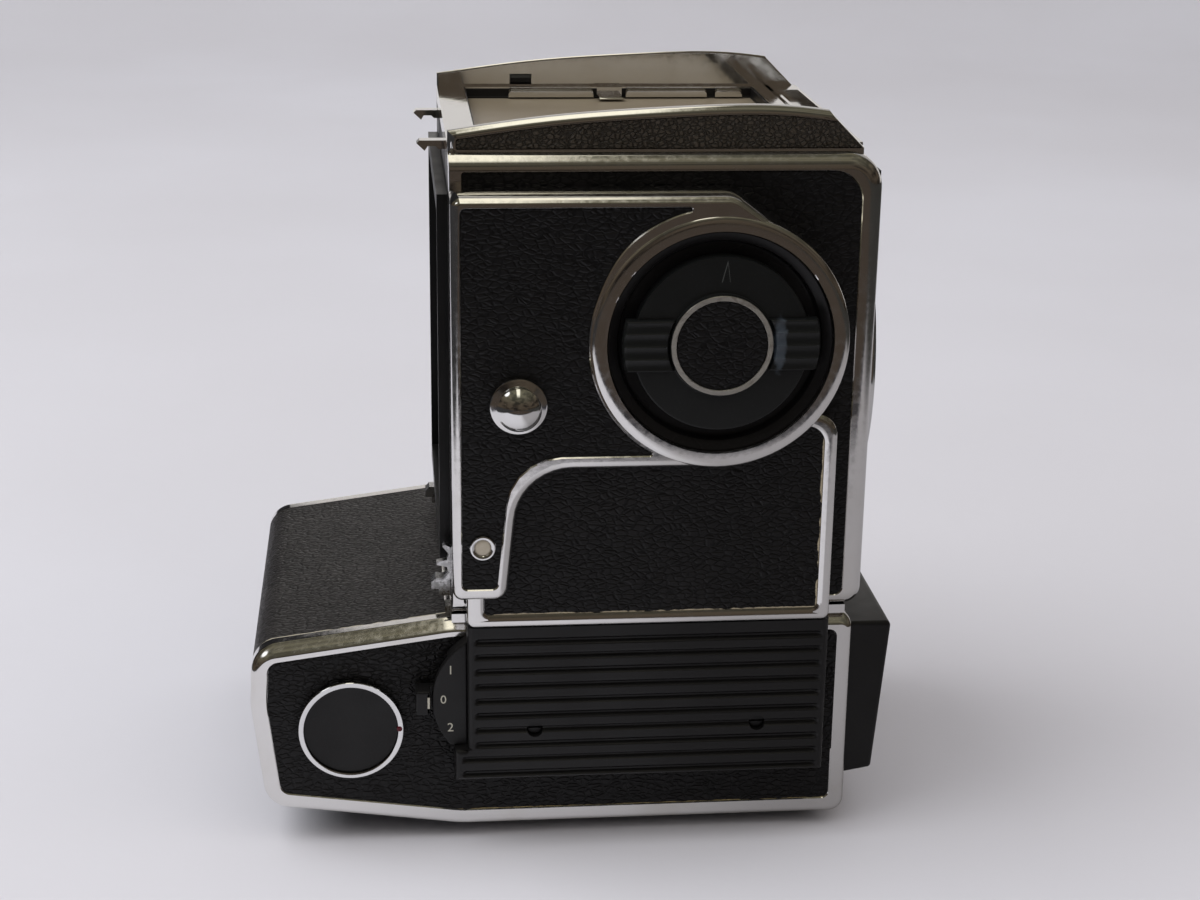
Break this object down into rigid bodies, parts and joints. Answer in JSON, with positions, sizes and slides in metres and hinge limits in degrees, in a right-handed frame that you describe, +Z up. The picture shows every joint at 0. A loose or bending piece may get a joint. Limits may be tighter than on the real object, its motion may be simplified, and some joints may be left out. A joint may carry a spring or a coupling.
{
  "type": "motor-driven medium format reflex camera body",
  "caption": "Medium format reflex camera body with a motor base, ribbed grip, winding cap, finder seat, lens bayonet and open magazine rear.",
  "frame": {"origin": "middle of the tripod thread's mouth, in the plane the camera stands on", "axes": "+X out through the lens mount, +Y to the camera's left side, +Z up"},
  "size_m": [0.1156, 0.0894, 0.1326],
  "materials": {
    "bright_casting": "polished, brown reflections at the edges",
    "leather": "black grained leatherette",
    "mount_chrome": "chromed",
    "steel": "plain steel",
    "black_metal": "matt black paint",
    "mirror": "front-silvered",
    "screen": "ground, greyish",
    "clear_glass": "clear",
    "brass": "cut brass",
    "cap_black": "dark grey-green black, satin",
    "disc_leather": "black grained inlay",
    "flag": "white paint",
    "motor_casting": "polished rims",
    "black_plastic": "satin black",
    "motor_can": "plated steel",
    "cell": "wrapped steel cells",
    "cell_contact": "spring brass"
  },
  "bodies": {
    "camera": {"body_shell": "bright_casting", "shell_leathers": "leather", "front_leather": "leather", "lens_mount_ring": "mount_chrome", "mirror_box": "black_metal", "rear_plate": "black_metal", "magazine_hooks": "mount_chrome", "magazine_lugs": "mount_chrome", "finder_frame": "mount_chrome", "finder_leathers": "leather", "focusing_screen": "screen", "screen_frame": "black_metal", "screen_clips": "steel", "side_cover": "bright_casting", "side_cover_leather": "leather", "gear_housing": "bright_casting", "gear_housing_leather": "leather", "gear_plate": "steel", "cap_well": "black_metal", "strap_lugs": "mount_chrome", "signal_bezel": "mount_chrome", "signal_glass": "clear_glass", "motor_housing": "motor_casting", "base_side_leathers": "leather", "base_rear_leather": "leather", "grip_panel": "black_plastic", "grip_screws": "black_metal", "mode_plate": "black_metal", "electric_motor": "motor_can", "battery_cells": "cell", "battery_contacts": "cell_contact", "release_box": "black_plastic", "remote_socket": "mount_chrome", "tripod_plate": "mount_chrome", "housing_screws": "steel", "accessory_rail": "mount_chrome"},
    "mirror": {"mirror_carrier": "black_metal", "mirror_glass": "mirror"},
    "upper_door": {"upper_shutter_door": "black_metal"},
    "lower_door": {"lower_shutter_door": "black_metal"},
    "flag": {"signal_flag": "flag"},
    "winding_shaft": {"winding_gear": "brass", "winding_cap": "cap_black", "winding_cap_ring": "mount_chrome", "winding_cap_disc": "disc_leather"},
    "upper_wheel": {"upper_gear": "brass"},
    "middle_wheel": {"middle_gear": "brass"},
    "lower_wheel": {"lower_gear": "brass"},
    "pinion": {"motor_pinion": "steel"},
    "magazine_wheel": {"magazine_gear": "steel"},
    "drive_key": {"lens_drive_key": "steel"},
    "lens_button": {"lens_release_button": "mount_chrome"},
    "lock_pin": {"lens_lock_pin": "steel"},
    "release_push": {"release_button": "black_metal"},
    "lever": {"mode_lever": "mount_chrome"},
    "selector": {"selector_knob": "black_plastic", "selector_ring": "mount_chrome"},
    "finder_latch": {"finder_catch": "black_metal"},
    "battery_lid": {"battery_door": "black_metal"}
  },
  "joints": [
    {"name": "mirror_swing", "type": "hinge", "parent": "camera", "child": "mirror", "pos_m": [-0.0312, 0, 0.116], "axis": [0, -1, 0], "range_deg": [0, 45]},
    {"name": "upper_door_swing", "type": "hinge", "parent": "camera", "child": "upper_door", "pos_m": [-0.0332, 0, 0.11335], "axis": [0, -1, 0], "range_deg": [0, 90]},
    {"name": "lower_door_swing", "type": "hinge", "parent": "camera", "child": "lower_door", "pos_m": [-0.0332, 0, 0.05535], "axis": [0, 1, 0], "range_deg": [0, 90]},
    {"name": "flag_slide", "type": "slide", "parent": "camera", "child": "flag", "axis": [0, 0, -1], "range_m": [0, 0.0048]},
    {"name": "winding_spin", "type": "hinge", "parent": "camera", "child": "winding_shaft", "pos_m": [0.0083, -0.0387, 0.0948], "axis": [0, 1, 0], "continuous": true},
    {"name": "upper_wheel_spin", "type": "hinge", "parent": "camera", "child": "upper_wheel", "pos_m": [0.00407, -0.0387, 0.07199], "axis": [0, 1, 0], "continuous": true},
    {"name": "middle_wheel_spin", "type": "hinge", "parent": "camera", "child": "middle_wheel", "pos_m": [0.00214, -0.0387, 0.04987], "axis": [0, 1, 0], "continuous": true},
    {"name": "lower_wheel_spin", "type": "hinge", "parent": "camera", "child": "lower_wheel", "pos_m": [0.0002, -0.0387, 0.02977], "axis": [0, 1, 0], "continuous": true},
    {"name": "pinion_spin", "type": "hinge", "parent": "camera", "child": "pinion", "pos_m": [-0.01195, -0.0387, 0.02461], "axis": [0, 1, 0], "continuous": true},
    {"name": "magazine_wheel_spin", "type": "hinge", "parent": "camera", "child": "magazine_wheel", "pos_m": [-0.0338, -0.0325, 0.0526], "axis": [0, 1, 0], "continuous": true},
    {"name": "drive_key_spin", "type": "hinge", "parent": "camera", "child": "drive_key", "pos_m": [0.03, -0.01732, 0.06703], "axis": [1, 0, 0], "continuous": true},
    {"name": "lens_button_push", "type": "slide", "parent": "camera", "child": "lens_button", "axis": [-1, 0, 0], "range_m": [0, 0.0013], "stiffness_N_per_m": 600},
    {"name": "lock_pin_slide", "type": "slide", "parent": "camera", "child": "lock_pin", "axis": [-1, 0, 0], "range_m": [0, 0.0013]},
    {"name": "release_push_slide", "type": "slide", "parent": "camera", "child": "release_push", "axis": [-1, 0, 0], "range_m": [0, 0.0012], "stiffness_N_per_m": 600},
    {"name": "lever_turn", "type": "hinge", "parent": "camera", "child": "lever", "pos_m": [-0.0272, -0.037, 0.029], "axis": [0, 1, 0], "range_deg": [-22, 22]},
    {"name": "selector_turn", "type": "hinge", "parent": "camera", "child": "selector", "pos_m": [-0.0545, -0.0369, 0.0229], "axis": [0, -1, 0], "range_deg": [0, 160]},
    {"name": "finder_latch_slide", "type": "slide", "parent": "camera", "child": "finder_latch", "axis": [0, 1, 0], "range_m": [0, 0.001], "stiffness_N_per_m": 400},
    {"name": "battery_lid_swing", "type": "hinge", "parent": "camera", "child": "battery_lid", "pos_m": [-0.0369, 0.0373, 0.024], "axis": [0, 0, -1], "range_deg": [0, 110]}
  ],
  "couplings": [
    {"joint": "upper_door_swing", "follows": "mirror_swing", "ratio": 2},
    {"joint": "lower_door_swing", "follows": "mirror_swing", "ratio": 2},
    {"joint": "flag_slide", "follows": "mirror_swing", "m_per_rad": 0.0061},
    {"joint": "upper_wheel_spin", "follows": "winding_spin", "ratio": -1.0909},
    {"joint": "middle_wheel_spin", "follows": "winding_spin", "ratio": 1.0909},
    {"joint": "lower_wheel_spin", "follows": "winding_spin", "ratio": -1.3333},
    {"joint": "pinion_spin", "follows": "winding_spin", "ratio": 3},
    {"joint": "magazine_wheel_spin", "follows": "winding_spin", "ratio": 2.6667},
    {"joint": "drive_key_spin", "follows": "winding_spin", "ratio": 1},
    {"joint": "lock_pin_slide", "follows": "lens_button_push", "ratio": 1}
  ]
}
